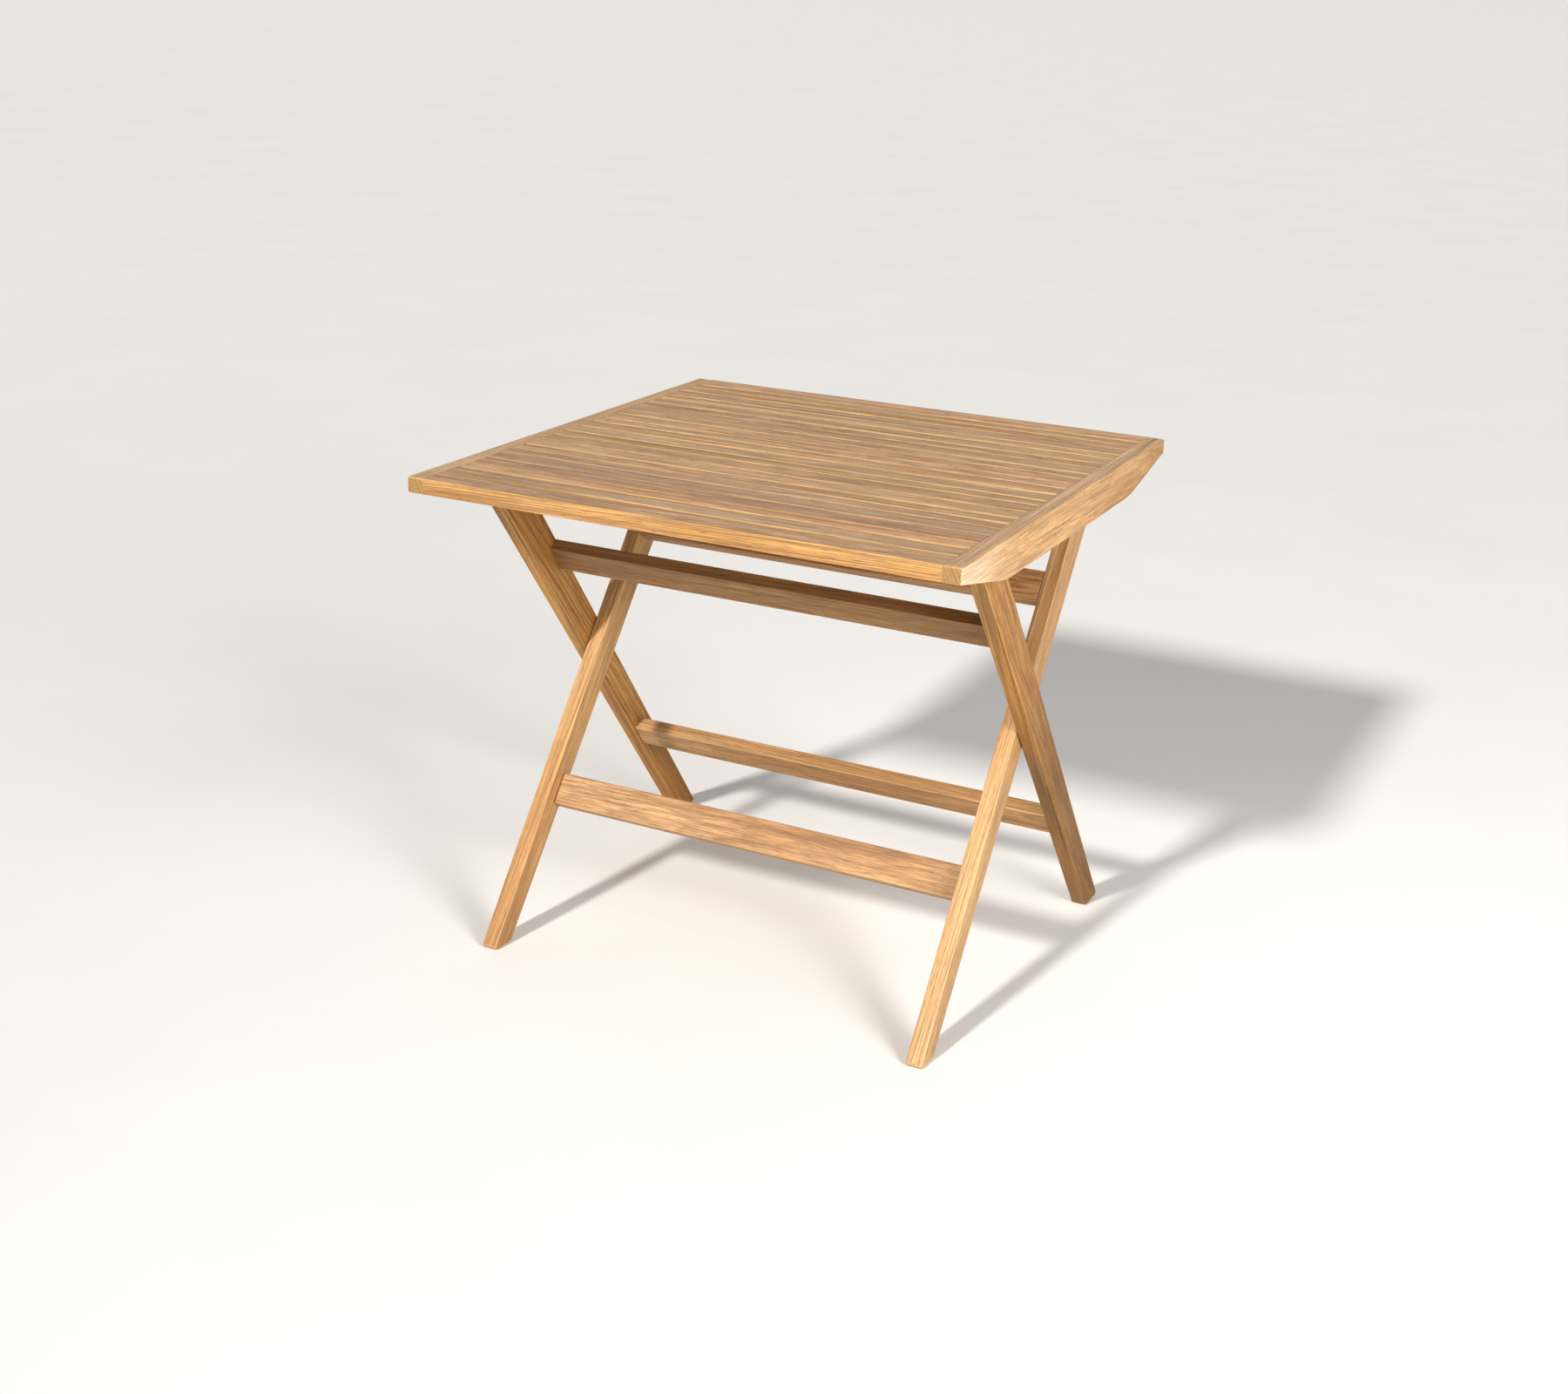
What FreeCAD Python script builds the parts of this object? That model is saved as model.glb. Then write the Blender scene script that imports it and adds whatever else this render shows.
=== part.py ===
import FreeCAD, Part
import math
import os

# Square folding table with a slatted top and crossed legs, all in solid teak.
# Millimetres.  X runs left to right, Y front to back, Z up.
# The origin is on the floor, under the centre of the top.
# The outer frame is pinned to the side rails near the front.  The inner frame is pinned
# to the outer frame where the legs cross, and its rounded upper ends carry the slats at
# the back.  To fold, the legs flatten out and the top comes down onto them.

V = FreeCAD.Vector

# ---------------------------------------------------------------- driving dimensions
table_width = 800.0
table_depth = 800.0
table_height = 720.0

slat_thickness = 22.0
slat_gap = 5.0
end_board_width = 41.0
narrow_slat_width = 24.0
slat_order = "WNWWNNWWNWWNWNWNWNWNN"    # front to back, W is a wide slat and N a narrow one

rail_width = 25.0
rail_height = 55.0
rail_end_height = 22.0
rail_taper_length = 155.0
rail_belly_radius = 160.0

leg_width = 24.0
lane_gap = 1.0
outer_foot_depth = 39.8
outer_taper = 0.0216                    # extra depth for each millimetre up the leg
outer_lean = 37.22                      # lean of the outer legs' back face, in degrees
outer_heel_y = 320.7                    # where that face meets the floor
inner_foot_depth = 35.4
inner_taper = 0.0187
inner_lean = 36.95                      # lean of the inner legs' front face, in degrees
inner_toe_y = -320.5                    # where that face meets the floor

cross_y = -3.3
cross_z = 384.0
hinge_edge_distance = 15.0              # top hinge to the back face and top of the outer legs
end_clearance = 0.3                     # leg ends to the underside of the slats

stretcher_height = 48.0
stretcher_thickness = 21.0
lower_stretcher_at = 237.0              # distance up the leg from the floor
upper_stretcher_at = 671.0
outer_lower_setback = 20.5              # leg's leaning face to the lower stretcher
inner_lower_setback = 19.5

tenon_length = 12.0
stretcher_shoulder = 5.0
slat_shoulder = 4.0
slat_tenon_thickness = 10.0

pin_radius = 4.0
pin_running_gap = 0.05
pin_depth = 17.0
bush_radius = 5.5
bush_length = 18.0
washer_radius = 11.0
washer_thickness = 0.8

edge_radius = 2.5                       # worn corners along rails, legs and stretchers
slat_edge_radius = 1.5
joint_edge_radius = 0.6                 # nearly sharp along the rail face that meets the slats
profile_radius = 3.5                    # corners of the leg and rail outlines
foot_tip_radius = 5.0

# ---------------------------------------------------------------- derived dimensions
half_width = table_width / 2.0
half_depth = table_depth / 2.0
rail_inner_x = half_width - rail_width
slat_underside = table_height - slat_thickness
leg_top_z = slat_underside - end_clearance

outer_lane_x = rail_inner_x - lane_gap            # outer face of the outer legs
inner_lane_x = outer_lane_x - leg_width - lane_gap
sides = {"left": -1, "right": 1}


def save(shape, name):
    shape.exportStep("parts/" + name + ".step")


def save_group(solids, name):
    save(Part.makeCompound(solids), name)


# ---------------------------------------------------------------- outlines and bars
def corner_arc(before, corner, after, radius):
    """Start, middle and end of the arc that rounds one corner of an outline."""
    toward_before = (before - corner).normalize()
    toward_after = (after - corner).normalize()
    half_angle = toward_before.getAngle(toward_after) / 2.0
    reach = radius / math.tan(half_angle)
    bisector = (toward_before + toward_after).normalize()
    to_middle = radius / math.sin(half_angle) - radius
    start = corner + toward_before * reach
    end = corner + toward_after * reach
    return start, corner + bisector * to_middle, end


def rounded_outline(corners):
    """Closed wire through (point, radius) corners in the Y-Z plane."""
    count = len(corners)
    arcs = []
    for i, (point, radius) in enumerate(corners):
        before = corners[i - 1][0]
        after = corners[(i + 1) % count][0]
        arcs.append(corner_arc(before, point, after, radius))
    edges = []
    for i, (start, middle, end) in enumerate(arcs):
        edges.append(Part.Arc(start, middle, end).toShape())
        next_start = arcs[(i + 1) % count][0]
        if end.distanceToPoint(next_start) > 0.001:
            edges.append(Part.LineSegment(end, next_start).toShape())
    return Part.Wire(edges)


def bar(x_low, x_high, corners):
    """Solid of constant section that runs along X."""
    face = Part.Face(rounded_outline(corners))
    face.translate(V(x_low, 0, 0))
    return face.extrude(V(x_high - x_low, 0, 0))


def round_face_edges(solid, x, radius):
    """Round every edge of the side face that a bar has at x."""
    edges = []
    for edge in solid.Edges:
        box = edge.BoundBox
        if box.XLength < 0.001 and abs(box.XMin - x) < 0.001:
            edges.append(edge)
    return solid.makeFillet(radius, edges)


def mirrored_x(solid, side):
    """Solid made for the right-hand side, moved to the side wanted."""
    if side > 0:
        return solid
    return solid.mirror(V(0, 0, 0), V(1, 0, 0))


def rod(x_low, x_high, centre, radius):
    return Part.makeCylinder(radius, x_high - x_low, V(x_low, centre.y, centre.z), V(1, 0, 0))


def tube(x_low, x_high, centre, radius, bore):
    return rod(x_low, x_high, centre, radius).cut(rod(x_low, x_high, centre, bore))


def rectangle(low, high, radius):
    """Upright rectangle between two (y, z) corners."""
    (y_low, z_low), (y_high, z_high) = low, high
    return [
        (V(0, y_low, z_low), radius),
        (V(0, y_high, z_low), radius),
        (V(0, y_high, z_high), radius),
        (V(0, y_low, z_high), radius),
    ]


# ---------------------------------------------------------------- leaning legs
class LegFrame:
    """Places on one pair of legs: distance up the leaning face, and depth behind it."""

    def __init__(self, face_y, lean, toward, foot_depth, taper):
        angle = math.radians(lean)
        self.origin = V(0, face_y, 0)
        self.up = V(0, toward * math.sin(angle), math.cos(angle))
        self.inward = V(0, toward * math.cos(angle), -math.sin(angle))
        self.foot_depth = foot_depth
        self.taper = taper

    def point(self, distance, depth):
        return self.origin + self.up * distance + self.inward * depth

    def depth(self, distance):
        return self.foot_depth + self.taper * distance

    def near_face_at(self, z):
        return self.point(z / self.up.z, 0)

    def far_face_at(self, z):
        rise = self.up.z + self.taper * self.inward.z
        distance = (z - self.foot_depth * self.inward.z) / rise
        return self.point(distance, self.depth(distance))

    def end_round(self, z):
        """Radius of the round that touches both faces and the height z."""
        share = 1.0 + math.sqrt(1.0 + self.taper ** 2)
        drop = (1.0 + self.inward.z) / share
        distance = (z - drop * self.foot_depth) / (self.up.z + drop * self.taper)
        return self.depth(distance) / share

    def outline(self, near_top_radius, far_top_radius):
        return [
            (self.near_face_at(0), foot_tip_radius),
            (self.far_face_at(0), profile_radius),
            (self.far_face_at(leg_top_z), far_top_radius),
            (self.near_face_at(leg_top_z), near_top_radius),
        ]

    def section(self, distance, depth, height, thickness, radius):
        far_distance = distance + height
        far_depth = depth + thickness
        return [
            (self.point(distance, depth), radius),
            (self.point(distance, far_depth), radius),
            (self.point(far_distance, far_depth), radius),
            (self.point(far_distance, depth), radius),
        ]


outer = LegFrame(outer_heel_y, outer_lean, -1, outer_foot_depth, outer_taper)
inner = LegFrame(inner_toe_y, inner_lean, 1, inner_foot_depth, inner_taper)

cross = V(0, cross_y, cross_z)
hinge_z = leg_top_z - hinge_edge_distance
hinge_distance = (hinge_z - hinge_edge_distance * outer.inward.z) / outer.up.z
top_hinge = outer.point(hinge_distance, hinge_edge_distance)


def stretcher(frame, half_span, distance, depth):
    """Cross bar with a stub tenon at each end; half_span is to the legs' inner faces."""
    section = frame.section(distance, depth, stretcher_height, stretcher_thickness, edge_radius)
    body = bar(-half_span, half_span, section)
    inset = stretcher_shoulder
    tenon_height = stretcher_height - 2 * inset
    tenon_thickness = stretcher_thickness - 2 * inset
    core = frame.section(distance + inset, depth + inset, tenon_height, tenon_thickness, 1.0)
    reach = half_span + tenon_length
    return body.fuse(bar(-reach, reach, core)).removeSplitter()


def right_leg(frame, face_x, near_top_radius, far_top_radius):
    """Plain leg on the right-hand side; face_x is its outer face."""
    leg = bar(face_x - leg_width, face_x, frame.outline(near_top_radius, far_top_radius))
    leg = round_face_edges(leg, face_x, edge_radius)
    return round_face_edges(leg, face_x - leg_width, edge_radius)


# ---------------------------------------------------------------- outer frame
outer_span = outer_lane_x - leg_width
outer_stretchers = {
    "outer_upper_stretcher": stretcher(outer, outer_span, upper_stretcher_at, 0.0),
    "outer_lower_stretcher": stretcher(outer, outer_span, lower_stretcher_at, outer_lower_setback),
}

outer_leg = right_leg(outer, outer_lane_x, hinge_edge_distance, profile_radius)
outer_leg = outer_leg.cut(rod(outer_lane_x - bush_length, outer_lane_x, top_hinge, bush_radius))
outer_leg = outer_leg.cut(rod(outer_span, outer_span + pin_depth, cross, pin_radius))
for bar_solid in outer_stretchers.values():
    outer_leg = outer_leg.cut(bar_solid)

# ---------------------------------------------------------------- inner frame
inner_span = inner_lane_x - leg_width
inner_stretchers = {
    "inner_upper_stretcher": stretcher(inner, inner_span, upper_stretcher_at, 0.0),
    "inner_lower_stretcher": stretcher(inner, inner_span, lower_stretcher_at, inner_lower_setback),
}

inner_round = inner.end_round(leg_top_z)
inner_leg = right_leg(inner, inner_lane_x, inner_round, inner_round)
inner_leg = inner_leg.cut(rod(inner_lane_x - bush_length, inner_lane_x, cross, bush_radius))
for bar_solid in inner_stretchers.values():
    inner_leg = inner_leg.cut(bar_solid)


# ---------------------------------------------------------------- slatted top
def slat_widths():
    """Width of every board from front to back, with the end boards first and last."""
    narrow_count = slat_order.count("N")
    wide_count = slat_order.count("W")
    gaps = (len(slat_order) + 1) * slat_gap
    left_over = table_depth - 2 * end_board_width - gaps - narrow_count * narrow_slat_width
    width = {"N": narrow_slat_width, "W": left_over / wide_count}
    return [end_board_width] + [width[kind] for kind in slat_order] + [end_board_width]


def board(y_low, width):
    """One board of the top, with a stub tenon at each end."""
    half_length = rail_inner_x
    y_high = y_low + width
    body = bar(-half_length, half_length,
               rectangle((y_low, slat_underside), (y_high, table_height), slat_edge_radius))
    z_low = slat_underside + (slat_thickness - slat_tenon_thickness) / 2.0
    z_high = z_low + slat_tenon_thickness
    reach = half_length + tenon_length
    tenon = bar(-reach, reach,
                rectangle((y_low + slat_shoulder, z_low), (y_high - slat_shoulder, z_high), 1.0))
    return body.fuse(tenon).removeSplitter()


def rail_outline():
    """Side view of a rail: flat in the middle, tapering up to each end."""
    belly_y = half_depth - rail_taper_length
    belly_z = table_height - rail_height
    end_z = table_height - rail_end_height
    return [
        (V(0, -half_depth, table_height), profile_radius),
        (V(0, -half_depth, end_z), profile_radius),
        (V(0, -belly_y, belly_z), rail_belly_radius),
        (V(0, belly_y, belly_z), rail_belly_radius),
        (V(0, half_depth, end_z), profile_radius),
        (V(0, half_depth, table_height), profile_radius),
    ]


boards = []
board_y = -half_depth
for board_width in slat_widths():
    boards.append(board(board_y, board_width))
    board_y += board_width + slat_gap

rail = bar(rail_inner_x, half_width, rail_outline())
rail = round_face_edges(rail, half_width, edge_radius)
rail = round_face_edges(rail, rail_inner_x, joint_edge_radius)
rail = rail.cut(rod(rail_inner_x, rail_inner_x + pin_depth, top_hinge, pin_radius))
rail = rail.cut(Part.makeCompound(boards))


# ---------------------------------------------------------------- hinge hardware
def hinge_parts(centre, face_x):
    """Pin, bush and washer between the part outside face_x and the leg inside it."""
    gap_middle = face_x - lane_gap / 2.0
    bush_face = face_x - lane_gap
    running_bore = pin_radius + pin_running_gap
    pin = rod(bush_face - pin_depth, face_x + pin_depth, centre, pin_radius)
    bush = tube(bush_face - bush_length, bush_face, centre, bush_radius, running_bore)
    washer = tube(gap_middle - washer_thickness / 2.0, gap_middle + washer_thickness / 2.0,
                  centre, washer_radius, running_bore)
    return {"pins": pin, "bushes": bush, "washers": washer}


hinges = {
    "top_hinge": hinge_parts(top_hinge, rail_inner_x),
    "cross_hinge": hinge_parts(cross, outer_span),
}


# ---------------------------------------------------------------- export
def main():
    os.makedirs("parts", exist_ok=True)
    for side_name, side in sides.items():
        save(mirrored_x(outer_leg, side), "outer_leg_" + side_name)
        save(mirrored_x(inner_leg, side), "inner_leg_" + side_name)
        save(mirrored_x(rail, side), "side_rail_" + side_name)
    for name, solid in {**outer_stretchers, **inner_stretchers}.items():
        save(solid, name)
    save(boards[0], "front_board")
    save(boards[-1], "back_board")
    for number, solid in enumerate(boards[1:-1], start=1):
        save(solid, "slat_{:02d}".format(number))
    for hinge_name, pieces in hinges.items():
        for piece_name, solid in pieces.items():
            pair = [mirrored_x(solid, side) for side in sides.values()]
            save_group(pair, hinge_name + "_" + piece_name)


main()
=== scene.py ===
import math
import random

import bpy
from mathutils import Matrix, Vector


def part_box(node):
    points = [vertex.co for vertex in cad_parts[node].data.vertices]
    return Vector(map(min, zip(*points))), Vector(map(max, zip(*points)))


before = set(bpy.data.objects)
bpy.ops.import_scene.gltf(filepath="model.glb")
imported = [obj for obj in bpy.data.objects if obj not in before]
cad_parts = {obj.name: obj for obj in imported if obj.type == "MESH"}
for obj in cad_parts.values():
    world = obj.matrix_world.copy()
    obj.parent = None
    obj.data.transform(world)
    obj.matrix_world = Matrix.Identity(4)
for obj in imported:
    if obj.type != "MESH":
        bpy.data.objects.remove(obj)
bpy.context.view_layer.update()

# ---------------------------------------------------------------- camera
CAMERA_AT = Vector((1.2527, -2.5811, 1.4093))
CAMERA_YAW = math.radians(26.77)        # turned left from looking straight back
CAMERA_PITCH = math.radians(-16.70)
CAMERA_ROLL = math.radians(1.62)
SENSOR_WIDTH = 36.0
LENS = 47.66
SHIFT = (0.0067, -0.0802)

# ---------------------------------------------------------------- light
# A yaw of 0 is straight in front of the table, and positive turns to its left.
KEY_YAW = math.radians(11.0)
KEY_HEIGHT = math.radians(31.5)
KEY_SPREAD = math.radians(5.0)
KEY_POWER = 3.6
KEY_COLOUR = (1.0, 0.965, 0.91)

# a broad soft light on the right
SIDE_YAW = math.radians(-72.0)
SIDE_HEIGHT = math.radians(27.0)
SIDE_SPREAD = math.radians(32.0)
SIDE_POWER = 1.1
SIDE_COLOUR = (1.0, 0.975, 0.94)

# a weak broad light from behind on the left
BACK_YAW = math.radians(140.0)
BACK_HEIGHT = math.radians(38.0)
BACK_SPREAD = math.radians(60.0)
BACK_POWER = 0.45

# a nearer lamp that brightens the right front corner
LAMP_AT = Vector((2.3, -1.35, 1.25))
LAMP_RADIUS = 0.45
LAMP_POWER = 200.0

FAR_LIGHT_DISTANCE = 5.0                # where a far light's object is put, with no effect on it
ROOM_LIGHT = 0.17
BACKDROP = (0.775, 0.772, 0.760)        # close to the far floor as it looks from the front
FLOOR_SIZE = 400.0
FLOOR_PALE = (0.82, 0.82, 0.815)
FLOOR_DIM = (0.79, 0.79, 0.785)

# ---------------------------------------------------------------- wood
LIGHT_HONEY = (0.590, 0.358, 0.146)
DEEP_HONEY = (0.420, 0.222, 0.077)
LATE_WOOD = (0.260, 0.118, 0.035)
STREAK_BROWN = (0.170, 0.078, 0.026)
# paler rounded edges: partly wear, partly a painted highlight
WORN_AND_HIGHLIT_EDGE = (0.700, 0.450, 0.200)
SUNNED_GREY = (0.590, 0.402, 0.255)
END_BROWN = (0.345, 0.205, 0.075)
# paler colour towards the front end of the right rail's wide face
FRONT_END_PALE = (0.720, 0.520, 0.330)

# Noise fields of the wood.  along and across are cycles in each metre, with and across the grain.
DRIFT = {"along": 1.7, "across": 13.0, "detail": 2.0, "roughness": 0.5}
WAVER = {"along": 16.0, "across": 90.0, "detail": 2.0, "roughness": 0.55}
FIBRES = {"along": 9.0, "across": 640.0, "detail": 3.0, "roughness": 0.6}
STREAKS = {"along": 1.3, "across": 70.0, "detail": 2.0, "roughness": 0.5}
PORES = {"along": 55.0, "across": 900.0, "detail": 1.0, "roughness": 0.5}
PATCHES = {"along": 2.2, "across": 12.0, "detail": 2.0, "roughness": 0.5}
THREADS = {"along": 2.6, "across": 330.0, "detail": 4.0, "roughness": 0.68}
DRIFT_WIDTH = 0.026                     # how far the rings wander, in metres
WAVER_WIDTH = 0.0032

RING_SPACING = 0.0034
UNEVEN_SCALE = 95.0                     # slow change of the ring width along the radius
UNEVEN_RINGS = 3.0
# darkness through one ring, from the early wood to the late wood and back
RING_PROFILE = [(0.0, 0.10), (0.45, 0.16), (0.78, 0.62), (0.92, 1.0), (1.0, 0.10)]

# How each piece differs from the next: the tilt of its rings in degrees, where their pith is
# along, across and behind its centre in metres, and its hue, saturation and brightness.
RING_TILT = (0.5, 1.6)
PITH_ALONG = (-9, 9)
PITH_ACROSS = (-0.03, 0.03)
PITH_BEHIND = (0.03, 0.10)
HUE_SPREAD = (-0.003, 0.003)
SATURATION_SPREAD = (0.96, 1.05)
VALUE_SPREAD = (0.97, 1.03)

# Where each noise field starts to show and where it shows in full.
PATCH_RANGE = (0.30, 0.72)
PORE_RANGE = (0.60, 0.70)
STREAK_RANGE = (0.52, 0.72)
THREAD_RANGE = (0.48, 0.64)
SUNNED_STREAK_RANGE = (0.50, 0.70)
SUNNED_THREAD_RANGE = (0.47, 0.62)
FIBRE_RANGE = (0.30, 0.70)
FIBRE_LEVELS = (0.66, 1.29)             # what the fibres multiply the colour by

# How strongly each feature colours fresh wood, and wood that the sun has greyed.
FRESH = {"late": 0.50, "streaks": 0.50, "threads": 0.32, "figured_threads": 0.34, "pores": 0.45}
SUNNED = {"late": 0.55, "streaks": 0.50, "threads": 0.85, "pores": 0.50}
# how much paler the edges are made: partly wear, partly a painted highlight
EDGE_WEAR_AND_HIGHLIGHT = 0.30
END_DARKENING = 0.70
END_RINGS = 0.80

# How squarely a surface faces a direction, where its mask starts and where it is full.
FLAT_RANGE = (0.86, 0.965)
END_RANGE = (0.80, 0.95)
WIDE_RANGE = (0.7, 0.95)
UPWARD_RANGE = (0.88, 0.985)

FRONT_END = (-0.40, -0.17)              # metres along the rail over which the paling of its front end fades out
FRONT_PALE_PATCHES = (0.30, 0.58)
LEAST_FRONT_PALE = 0.35
FOOT_FADE_HEIGHT = (0.25, 0.70)             # distance along the leg, made uneven, where it fades out
FOOT_FADE_UNEVENNESS = 0.30

BUMP_STRENGTH = 0.55
BUMP_HEIGHT = 0.0004
WOOD_SPECULAR = 0.35

# ---------------------------------------------------------------- how each piece looks
LEG_LOOKS = {
    "outer": {"tone": 0.82, "figure": 1.15, "depth": 1.13, "redness": 0.003},
    "inner": {"tone": 0.96, "figure": 0.5, "depth": 1.0, "redness": 0.001},
}
BAR_LOOKS = {
    "outer_upper_stretcher": {"tone": 0.67, "depth": 1.04, "redness": 0.003},
    "outer_lower_stretcher": {"tone": 0.77, "depth": 1.00, "redness": 0.002},
    "inner_upper_stretcher": {"tone": 0.78, "depth": 1.06, "redness": 0.009},
    "inner_lower_stretcher": {"tone": 0.89, "depth": 0.92, "redness": 0.005},
}
BOARD_LOOKS = {"figure": 0.9, "sunned": 0.72}
BOARD_TONES = (0.84, 1.10)
BOARD_REDNESS = (-0.002, 0.006)
RAIL_LOOKS = {
    "left": {"tone": 0.98, "figure": 0.75, "sunned": 0.65},
    "right": {"tone": 0.98, "figure": 0.75, "sunned": 0.65, "front_paling": 0.75},
}
DARK_FOOT_TONE = 0.56                     # tone of the outer right leg's foot

# Each piece's own seed, or the first of a run of pieces.
BOARD_SEED = 40
BOARD_TONE_SEED = 300
RAIL_SEEDS = {"left": 80, "right": 81}
LEG_SEEDS = {"left": 114, "right": 125}
BAR_SEED = 150

# A leg is deeper at the top, so its box's diagonal leans this much more than the leg does.
TAPER_LEAN = math.radians(1.9)

X_AXIS = Vector((1.0, 0.0, 0.0))
Y_AXIS = Vector((0.0, 1.0, 0.0))
Z_AXIS = Vector((0.0, 0.0, 1.0))


# ---------------------------------------------------------------- node helpers
class Graph:
    """Adds and links the shader nodes of one material or world."""

    def __init__(self, material):
        material.use_nodes = True
        self.tree = material.node_tree
        self.tree.nodes.clear()

    def node(self, kind, **settings):
        made = self.tree.nodes.new(kind)
        for name, value in settings.items():
            setattr(made, name, value)
        return made

    def put(self, socket, value):
        if isinstance(value, bpy.types.NodeSocket):
            self.tree.links.new(value, socket)
        else:
            socket.default_value = value

    def maths(self, operation, first, second=0.0):
        made = self.node("ShaderNodeMath", operation=operation)
        self.put(made.inputs[0], first)
        self.put(made.inputs[1], second)
        return made.outputs[0]

    def vector(self, operation, first, second=(0.0, 0.0, 0.0)):
        made = self.node("ShaderNodeVectorMath", operation=operation)
        self.put(made.inputs[0], first)
        self.put(made.inputs[1], second)
        return made.outputs["Value" if operation in ("LENGTH", "DOT_PRODUCT") else "Vector"]

    def noise(self, vector, detail, roughness, colour=False):
        made = self.node("ShaderNodeTexNoise")
        self.put(made.inputs["Vector"], vector)
        made.inputs["Scale"].default_value = 1.0
        made.inputs["Detail"].default_value = detail
        made.inputs["Roughness"].default_value = roughness
        return made.outputs["Color" if colour else "Fac"]

    def remap(self, value, low, high, to_low=0.0, to_high=1.0):
        """Smooth step of value from low to high, and level outside that range."""
        made = self.node("ShaderNodeMapRange", interpolation_type="SMOOTHSTEP")
        self.put(made.inputs["Value"], value)
        made.inputs["From Min"].default_value = low
        made.inputs["From Max"].default_value = high
        made.inputs["To Min"].default_value = to_low
        made.inputs["To Max"].default_value = to_high
        return made.outputs["Result"]

    def ramp(self, value, stops):
        made = self.node("ShaderNodeValToRGB")
        self.put(made.inputs["Fac"], value)
        elements = made.color_ramp.elements
        while len(elements) < len(stops):
            elements.new(0.5)
        for element, (position, level) in zip(elements, stops):
            element.position = position
            element.color = (level, level, level, 1.0)
        return made.outputs["Color"]

    def mix(self, amount, first, second, blend="MIX"):
        made = self.node("ShaderNodeMix", data_type="RGBA", blend_type=blend)
        self.put(made.inputs["Factor"], amount)
        for socket, value in ((made.inputs[6], first), (made.inputs[7], second)):
            if isinstance(value, tuple):
                value = value + (1.0,)
            self.put(socket, value)
        return made.outputs[2]

    def bump(self, height, strength, distance):
        made = self.node("ShaderNodeBump")
        made.inputs["Strength"].default_value = strength
        made.inputs["Distance"].default_value = distance
        self.put(made.inputs["Height"], height)
        return made.outputs["Normal"]

    def surface(self, colour, roughness, normal=None):
        """Principled shader wired to the material's output."""
        shader = self.node("ShaderNodeBsdfPrincipled")
        self.put(shader.inputs["Base Color"], colour)
        self.put(shader.inputs["Roughness"], roughness)
        if normal is not None:
            self.put(shader.inputs["Normal"], normal)
        output = self.node("ShaderNodeOutputMaterial")
        self.put(output.inputs["Surface"], shader.outputs["BSDF"])
        return shader


# ---------------------------------------------------------------- materials
def scaled(colour, factor):
    return tuple(channel * factor for channel in colour)


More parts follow.
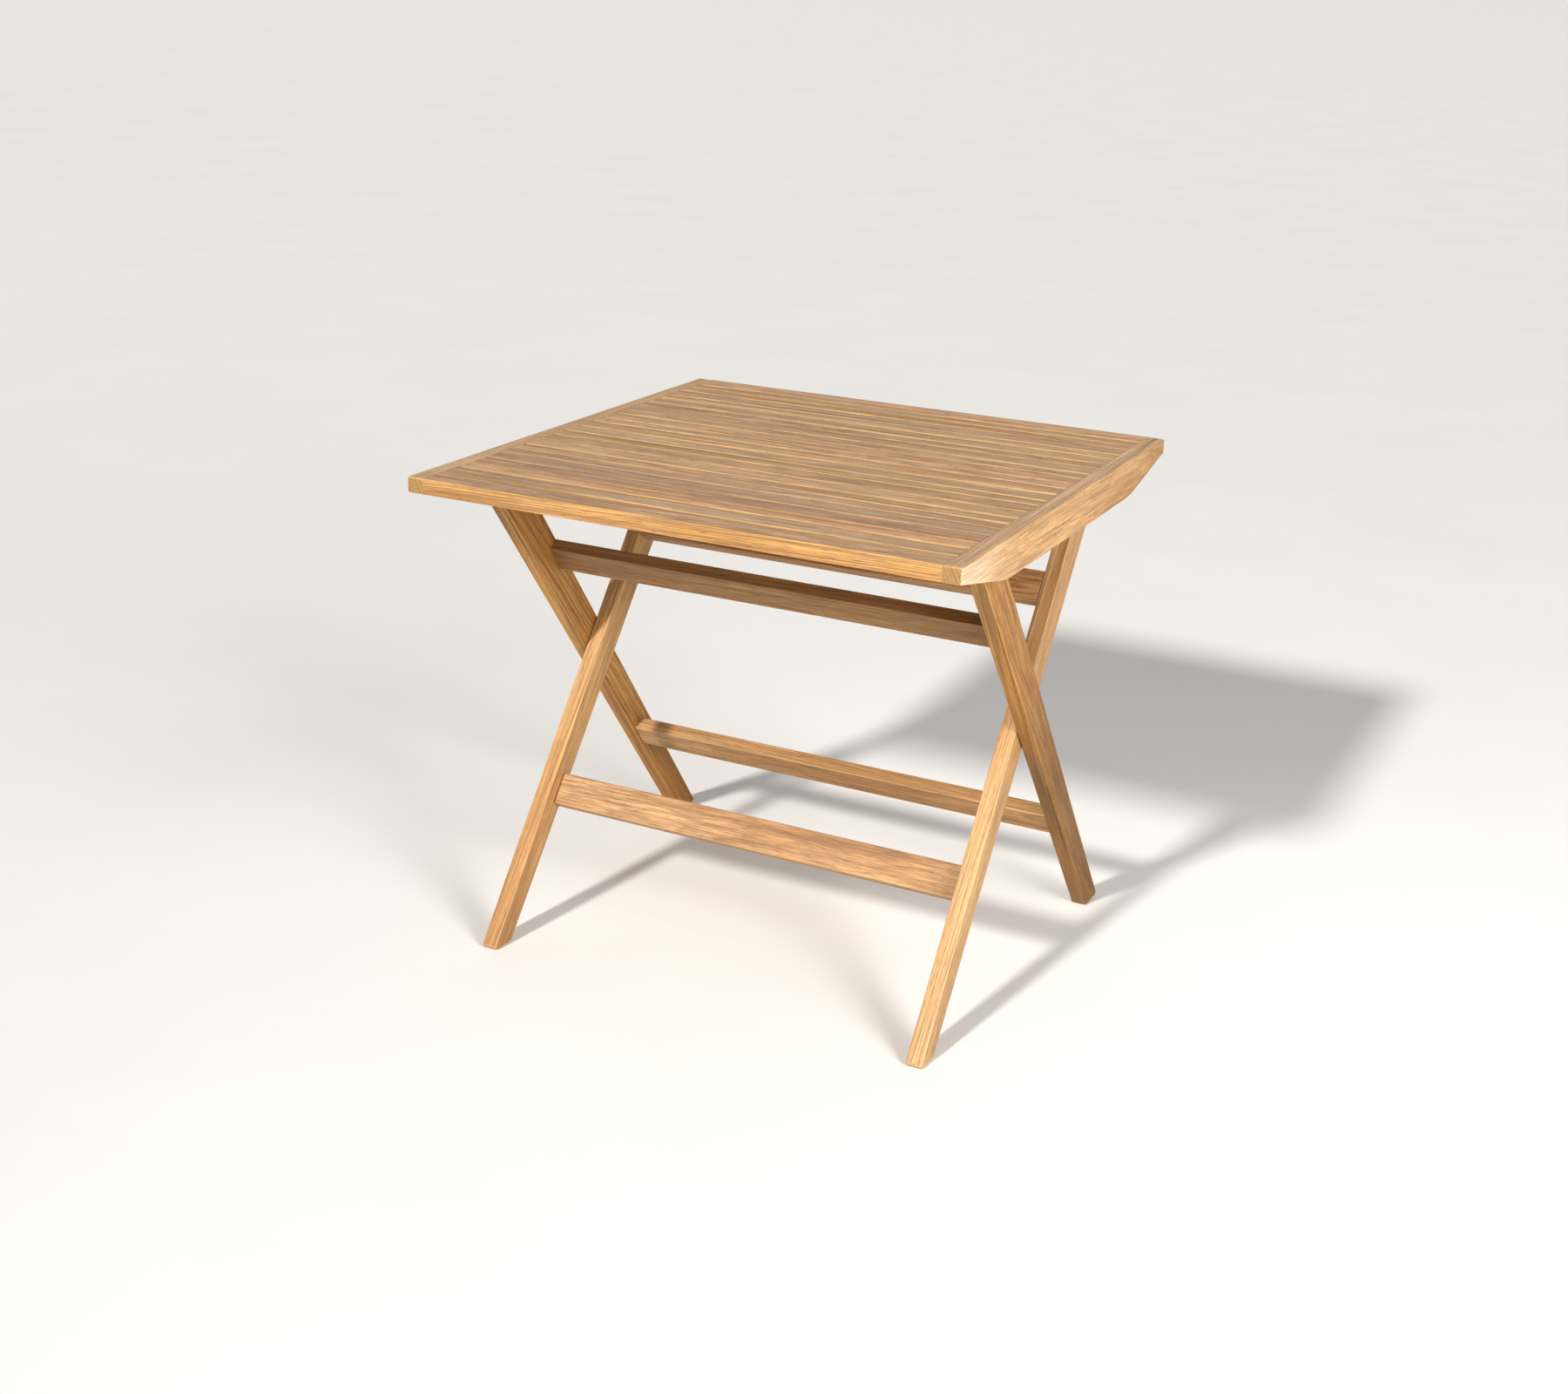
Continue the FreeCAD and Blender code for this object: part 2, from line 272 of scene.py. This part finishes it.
class Board:
    """The fields that one board's colour is mixed from.

    The rings are cylinders about a pith line outside the board, so flat faces show arches,
    edges show lines and ends show arcs, and they meet at every corner.
    """

    def __init__(self, graph, rng, grain, face, origin, figure):
        self.graph = graph
        self.grain = grain
        across = face.cross(grain).normalized()

        tilt = math.radians(rng.uniform(*RING_TILT)) * rng.choice((-1, 1))
        turned = Matrix.Rotation(tilt, 3, across) @ Matrix((grain, across, face)).transposed()
        rows = turned.transposed()
        pith = Vector((
            rng.uniform(*PITH_ALONG),
            rng.uniform(*PITH_ACROSS) * figure,
            rng.uniform(*PITH_BEHIND),
        ))

        coords = graph.node("ShaderNodeTexCoord")
        self.place = coords.outputs["Object"]
        self.normal = coords.outputs["Normal"]
        mapping = graph.node("ShaderNodeMapping", vector_type="POINT")
        graph.put(mapping.inputs["Vector"], self.place)
        mapping.inputs["Rotation"].default_value = rows.to_euler("XYZ")
        mapping.inputs["Location"].default_value = pith - rows @ origin
        self.wood = mapping.outputs["Vector"]

        self.late = self.ring_darkness()
        self.fibres = self.field(**FIBRES)
        self.streaks = self.field(**STREAKS)
        self.patches = self.field(**PATCHES)
        self.threads = self.field(**THREADS)
        self.pores = graph.remap(self.field(**PORES), *PORE_RANGE)

        fibre_level = graph.remap(self.fibres, *FIBRE_RANGE, *FIBRE_LEVELS)
        tint = graph.node("ShaderNodeCombineColor")
        for socket in tint.inputs:
            graph.put(socket, fibre_level)
        self.fibre_tint = tint.outputs["Color"]

        # masks from the way the surface faces, which stay with the piece when it moves
        along, sideways, flat = (
            graph.maths("ABSOLUTE", graph.vector("DOT_PRODUCT", self.normal, tuple(axis)))
            for axis in (grain, across, face)
        )
        flattest = graph.maths("MAXIMUM", graph.maths("MAXIMUM", along, sideways), flat)
        self.edge = graph.maths("SUBTRACT", 1.0, graph.remap(flattest, *FLAT_RANGE))
        self.end_grain = graph.remap(along, *END_RANGE)
        self.wide_face = graph.remap(flat, *WIDE_RANGE)

    def field(self, along, across, detail, roughness, colour=False):
        """Noise stretched along the grain."""
        stretched = self.graph.vector("MULTIPLY", self.wood, (along, across, across))
        return self.graph.noise(stretched, detail, roughness, colour)

    def wander(self, width, noise):
        """Offset across the grain, of up to half the width each way."""
        offset = self.graph.vector("SUBTRACT", self.field(colour=True, **noise), (0.5, 0.5, 0.5))
        return self.graph.vector("MULTIPLY", offset, (0.0, width, width))

    def ring_darkness(self):
        """From 0 in pale early wood to 1 in dark late wood, ring after ring from the pith."""
        graph = self.graph
        bent = graph.vector("ADD", self.wood, self.wander(DRIFT_WIDTH, DRIFT))
        bent = graph.vector("ADD", bent, self.wander(WAVER_WIDTH, WAVER))
        radius = graph.vector("LENGTH", graph.vector("MULTIPLY", bent, (0.0, 1.0, 1.0)))
        outward = graph.node("ShaderNodeCombineXYZ")
        graph.put(outward.inputs["X"], graph.maths("MULTIPLY", radius, UNEVEN_SCALE))
        uneven = graph.noise(outward.outputs["Vector"], 1.0, 0.5)
        rings = graph.maths("DIVIDE", radius, RING_SPACING)
        rings = graph.maths("ADD", rings, graph.maths("MULTIPLY", uneven, UNEVEN_RINGS))
        return graph.ramp(graph.maths("FRACT", rings), RING_PROFILE)

    def distance_along(self):
        """Distance along the grain from the table's origin, in metres."""
        return self.graph.vector("DOT_PRODUCT", self.place, tuple(self.grain))


def fresh_wood(graph, board, figure):
    """Honey-coloured teak out of the sun."""
    colour = graph.mix(graph.remap(board.patches, *PATCH_RANGE), LIGHT_HONEY, DEEP_HONEY)
    late = graph.maths("MULTIPLY", board.late, FRESH["late"] * figure)
    colour = graph.mix(late, colour, LATE_WOOD)
    streaks = graph.remap(board.streaks, *STREAK_RANGE, 0.0, FRESH["streaks"] * figure)
    colour = graph.mix(streaks, colour, STREAK_BROWN)
    strength = FRESH["threads"] + FRESH["figured_threads"] * figure
    threads = graph.remap(board.threads, *THREAD_RANGE, 0.0, strength)
    colour = graph.mix(threads, colour, LATE_WOOD)
    colour = graph.mix(1.0, colour, board.fibre_tint, "MULTIPLY")
    pores = graph.maths("MULTIPLY", board.pores, FRESH["pores"])
    return graph.mix(pores, colour, scaled(STREAK_BROWN, 0.7))


def grey_the_top(graph, board, colour, sunned):
    """Weathered grey-brown wood on the faces that look up."""
    upward = graph.vector("DOT_PRODUCT", board.normal, tuple(Z_AXIS))
    faded = graph.remap(upward, *UPWARD_RANGE, 0.0, sunned)
    grey = graph.mix(1.0, SUNNED_GREY, board.fibre_tint, "MULTIPLY")
    late = graph.maths("MULTIPLY", board.late, SUNNED["late"])
    grey = graph.mix(late, grey, scaled(SUNNED_GREY, 0.40))
    threads = graph.remap(board.threads, *SUNNED_THREAD_RANGE, 0.0, SUNNED["threads"])
    grey = graph.mix(threads, grey, scaled(DEEP_HONEY, 0.62))
    streaks = graph.remap(board.streaks, *SUNNED_STREAK_RANGE, 0.0, SUNNED["streaks"])
    grey = graph.mix(streaks, grey, scaled(LATE_WOOD, 1.1))
    pores = graph.maths("MULTIPLY", board.pores, SUNNED["pores"])
    grey = graph.mix(pores, grey, scaled(DEEP_HONEY, 0.45))
    return graph.mix(faded, colour, grey)


def wear_and_highlight_edges_darken_ends(graph, board, colour):
    """Paler corners, partly worn and partly a painted highlight where light catches the rounded
    edges, and darker end grain with its ring lines.
    """
    colour = graph.mix(graph.maths("MULTIPLY", board.edge, EDGE_WEAR_AND_HIGHLIGHT), colour, WORN_AND_HIGHLIT_EDGE)
    colour = graph.mix(graph.maths("MULTIPLY", board.end_grain, END_DARKENING), colour, END_BROWN)
    ring_lines = graph.maths("MULTIPLY", board.end_grain, board.late)
    ring_lines = graph.maths("MULTIPLY", ring_lines, END_RINGS)
    return graph.mix(ring_lines, colour, scaled(LATE_WOOD, 0.6))


def pale_front_end(graph, board, colour, front_paling):
    """Pale patches on the wide face near the front end."""
    front_end = graph.remap(board.distance_along(), *FRONT_END, front_paling, 0.0)
    patchy = graph.remap(board.patches, *FRONT_PALE_PATCHES, LEAST_FRONT_PALE, 1.0)
    front_end = graph.maths("MULTIPLY", front_end, patchy)
    pale = graph.mix(1.0, FRONT_END_PALE, board.fibre_tint, "MULTIPLY")
    return graph.mix(graph.maths("MULTIPLY", front_end, board.wide_face), colour, pale)


def darken_foot(graph, board, colour, foot_tone):
    """A darker, warmer low end that fades out with an uneven line."""
    uneven = graph.maths("MULTIPLY", board.patches, FOOT_FADE_UNEVENNESS)
    height = graph.maths("ADD", board.distance_along(), uneven)
    # darker towards the foot of the leg
    foot_fade = graph.remap(height, *FOOT_FADE_HEIGHT, 1.0, 0.0)
    tint = (foot_tone, foot_tone * 0.92, foot_tone * 0.82)
    return graph.mix(foot_fade, colour, graph.mix(1.0, colour, tint, "MULTIPLY"))


def wood_bump(graph, board):
    """Raised late wood and fibres, and sunken pores."""
    relief = graph.maths("MULTIPLY", board.late, 0.35)
    relief = graph.maths("ADD", relief, graph.maths("MULTIPLY", board.fibres, 0.8))
    relief = graph.maths("SUBTRACT", relief, graph.maths("MULTIPLY", board.pores, 0.6))
    return graph.bump(relief, BUMP_STRENGTH, BUMP_HEIGHT)


def teak(piece, grain, face, seed, tone=1.0, figure=1.0, sunned=0.0, depth=1.0,
         redness=0.0, foot_tone=1.0, front_paling=0.0):
    """Solid teak for one piece.  grain is the direction of the fibres, and face is the normal
    of the widest side.

    figure strengthens the rings and streaks, sunned greys the top, depth deepens the colour,
    redness turns it from yellow to red, foot_tone below 1 darkens the low end and front_paling
    pales the front end.
    """
    rng = random.Random(seed)
    material = bpy.data.materials.new("Teak_" + piece)
    graph = Graph(material)
    board = Board(graph, rng, grain, face, centre_of(piece), figure)

    colour = fresh_wood(graph, board, figure)
    if sunned > 0.0:
        colour = grey_the_top(graph, board, colour, sunned)
    colour = wear_and_highlight_edges_darken_ends(graph, board, colour)
    if front_paling > 0.0:
        colour = pale_front_end(graph, board, colour, front_paling)
    if foot_tone < 1.0:
        colour = darken_foot(graph, board, colour, foot_tone)

    shade = graph.node("ShaderNodeHueSaturation")
    shade.inputs["Hue"].default_value = 0.5 - redness + rng.uniform(*HUE_SPREAD)
    shade.inputs["Saturation"].default_value = depth * rng.uniform(*SATURATION_SPREAD)
    shade.inputs["Value"].default_value = tone * rng.uniform(*VALUE_SPREAD)
    graph.put(shade.inputs["Color"], colour)

    roughness = graph.remap(board.fibres, 0.2, 0.8, 0.50, 0.66)
    shader = graph.surface(shade.outputs["Color"], roughness, wood_bump(graph, board))
    shader.inputs["Specular IOR Level"].default_value = WOOD_SPECULAR
    return material


def turned_metal(name, colour, roughness):
    """Lathe-turned metal: fine rings about the X axis, with slight stains."""
    material = bpy.data.materials.new(name)
    graph = Graph(material)
    place = graph.node("ShaderNodeTexCoord").outputs["Object"]
    lines = graph.noise(graph.vector("MULTIPLY", place, (9000.0, 60.0, 60.0)), 2.0, 0.6)
    stains = graph.noise(graph.vector("MULTIPLY", place, (300.0, 300.0, 300.0)), 3.0, 0.6)
    stained = graph.mix(graph.remap(stains, 0.35, 0.75, 0.0, 0.6), colour, scaled(colour, 0.62))
    polish = graph.remap(lines, 0.2, 0.8, roughness - 0.08, roughness + 0.12)
    shader = graph.surface(stained, polish, graph.bump(lines, 0.3, 0.0001))
    shader.inputs["Metallic"].default_value = 1.0
    return material


def nylon(name, colour):
    """Moulded nylon with a faint mottle."""
    material = bpy.data.materials.new(name)
    graph = Graph(material)
    place = graph.node("ShaderNodeTexCoord").outputs["Object"]
    mottle = graph.noise(graph.vector("MULTIPLY", place, (500.0, 500.0, 500.0)), 3.0, 0.6)
    mottled = graph.mix(graph.remap(mottle, 0.3, 0.7), colour, scaled(colour, 0.86))
    graph.surface(mottled, graph.remap(mottle, 0.3, 0.7, 0.42, 0.58))
    return material


def floor_paint():
    """Matt pale studio floor with a faint mottle."""
    material = bpy.data.materials.new("Floor_paint")
    graph = Graph(material)
    place = graph.node("ShaderNodeTexCoord").outputs["Object"]
    mottle = graph.noise(graph.vector("MULTIPLY", place, (2.0, 2.0, 2.0)), 4.0, 0.6)
    mottled = graph.mix(graph.remap(mottle, 0.2, 0.8), FLOOR_PALE, FLOOR_DIM)
    graph.surface(mottled, 0.8)
    return material


# ---------------------------------------------------------------- dressing the table
def dress(node, material):
    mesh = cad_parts[node].data
    mesh.materials.clear()
    mesh.materials.append(material)


def centre_of(node):
    low, high = (Vector(corner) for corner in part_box(node))
    return (low + high) / 2.0


def leg_direction(node):
    """Unit vector up a leaning leg, from the corners of its box."""
    low, high = (Vector(corner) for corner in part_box(node))
    rise = high.z - low.z
    run = high.y - low.y
    lean = math.atan2(run, rise) - TAPER_LEAN
    toward = -1.0 if node.startswith("outer") else 1.0
    return Vector((0.0, toward * math.sin(lean), math.cos(lean)))


def dress_top():
    """The slats and the end boards, front to back, then the two side rails."""
    slats = sorted(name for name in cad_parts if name.startswith("slat_"))
    for number, board in enumerate(["front_board"] + slats + ["back_board"]):
        pick = random.Random(BOARD_TONE_SEED + number)
        tone = pick.uniform(*BOARD_TONES)
        redness = pick.uniform(*BOARD_REDNESS)
        dress(board, teak(board, X_AXIS, Z_AXIS, BOARD_SEED + number,
                          tone=tone, redness=redness, **BOARD_LOOKS))
    for side, looks in RAIL_LOOKS.items():
        rail = "side_rail_" + side
        dress(rail, teak(rail, Y_AXIS, X_AXIS, RAIL_SEEDS[side], **looks))


def dress_legs():
    """The four legs and the four bars between them."""
    for side, seed in LEG_SEEDS.items():
        for pair, looks in LEG_LOOKS.items():
            leg = pair + "_leg_" + side
            foot_tone = DARK_FOOT_TONE if leg == "outer_leg_right" else 1.0
            dress(leg, teak(leg, leg_direction(leg), X_AXIS, seed, foot_tone=foot_tone, **looks))
    for number, (bar, looks) in enumerate(BAR_LOOKS.items()):
        pair = bar.split("_")[0]
        through = X_AXIS.cross(leg_direction(pair + "_leg_right"))
        dress(bar, teak(bar, X_AXIS, through, BAR_SEED + number, figure=0.9, **looks))


def dress_hardware():
    steel = turned_metal("Steel_pin", (0.56, 0.55, 0.53), 0.34)
    brass = turned_metal("Brass_bush", (0.66, 0.46, 0.18), 0.30)
    washer = nylon("Nylon_washer", (0.78, 0.76, 0.70))
    for hinge in ("top_hinge", "cross_hinge"):
        dress(hinge + "_pins", steel)
        dress(hinge + "_bushes", brass)
        dress(hinge + "_washers", washer)


# ---------------------------------------------------------------- studio
def far_light(name, yaw, height, spread, power, colour):
    """A light as if very far off.  yaw and height say where it stands, seen from the table."""
    lamp = bpy.data.lights.new(name, "SUN")
    lamp.angle = spread
    lamp.energy = power
    lamp.color = colour
    toward = Vector((
        -math.cos(height) * math.sin(yaw),
        -math.cos(height) * math.cos(yaw),
        math.sin(height),
    ))
    thing = bpy.data.objects.new(name, lamp)
    thing.location = toward * FAR_LIGHT_DISTANCE
    thing.rotation_euler = toward.to_track_quat("Z", "Y").to_euler()
    bpy.context.scene.collection.objects.link(thing)


def near_lamp():
    """A round lamp off the right front corner."""
    lamp = bpy.data.lights.new("Lamp", "POINT")
    lamp.shadow_soft_size = LAMP_RADIUS
    lamp.energy = LAMP_POWER
    lamp.color = SIDE_COLOUR
    thing = bpy.data.objects.new("Lamp", lamp)
    thing.location = LAMP_AT
    bpy.context.scene.collection.objects.link(thing)


def make_room():
    """Even light from all round, and a plain backdrop that only the camera sees."""
    world = bpy.data.worlds.new("Studio")
    bpy.context.scene.world = world
    graph = Graph(world)
    seen = graph.node("ShaderNodeLightPath").outputs["Is Camera Ray"]
    room = graph.node("ShaderNodeBackground")
    room.inputs["Strength"].default_value = ROOM_LIGHT
    room.inputs["Color"].default_value = (1.0, 1.0, 1.0, 1.0)
    backdrop = graph.node("ShaderNodeBackground")
    backdrop.inputs["Color"].default_value = BACKDROP + (1.0,)
    choose = graph.node("ShaderNodeMixShader")
    graph.put(choose.inputs[0], seen)
    graph.put(choose.inputs[1], room.outputs[0])
    graph.put(choose.inputs[2], backdrop.outputs[0])
    graph.put(graph.node("ShaderNodeOutputWorld").inputs["Surface"], choose.outputs[0])


def make_floor():
    """A flat sheet, far wider than the camera sees."""
    half = FLOOR_SIZE / 2.0
    corners = [(-half, -half, 0), (half, -half, 0), (half, half, 0), (-half, half, 0)]
    sheet = bpy.data.meshes.new("Floor")
    sheet.from_pydata(corners, [], [(0, 1, 2, 3)])
    sheet.materials.append(floor_paint())
    floor = bpy.data.objects.new("Floor", sheet)
    bpy.context.scene.collection.objects.link(floor)


def make_studio():
    far_light("Key", KEY_YAW, KEY_HEIGHT, KEY_SPREAD, KEY_POWER, KEY_COLOUR)
    far_light("Side", SIDE_YAW, SIDE_HEIGHT, SIDE_SPREAD, SIDE_POWER, SIDE_COLOUR)
    far_light("Back", BACK_YAW, BACK_HEIGHT, BACK_SPREAD, BACK_POWER, SIDE_COLOUR)
    near_lamp()
    make_room()
    make_floor()
    bpy.context.scene.view_settings.view_transform = "Standard"


def make_camera():
    """Three-quarter view from the front right, from above the top."""
    forward = Vector((
        -math.sin(CAMERA_YAW) * math.cos(CAMERA_PITCH),
        math.cos(CAMERA_YAW) * math.cos(CAMERA_PITCH),
        math.sin(CAMERA_PITCH),
    ))
    level = forward.cross(Z_AXIS).normalized()
    upright = level.cross(forward)
    right = level * math.cos(CAMERA_ROLL) + upright * math.sin(CAMERA_ROLL)
    up = upright * math.cos(CAMERA_ROLL) - level * math.sin(CAMERA_ROLL)
    lens = bpy.data.cameras.new("Camera")
    lens.sensor_width = SENSOR_WIDTH
    lens.lens = LENS
    lens.shift_x, lens.shift_y = SHIFT
    camera = bpy.data.objects.new("Camera", lens)
    turn = Matrix((right, up, -forward)).transposed().to_4x4()
    camera.matrix_world = Matrix.Translation(CAMERA_AT) @ turn
    bpy.context.scene.collection.objects.link(camera)
    bpy.context.scene.camera = camera


make_camera()
make_studio()
dress_top()
dress_legs()
dress_hardware()
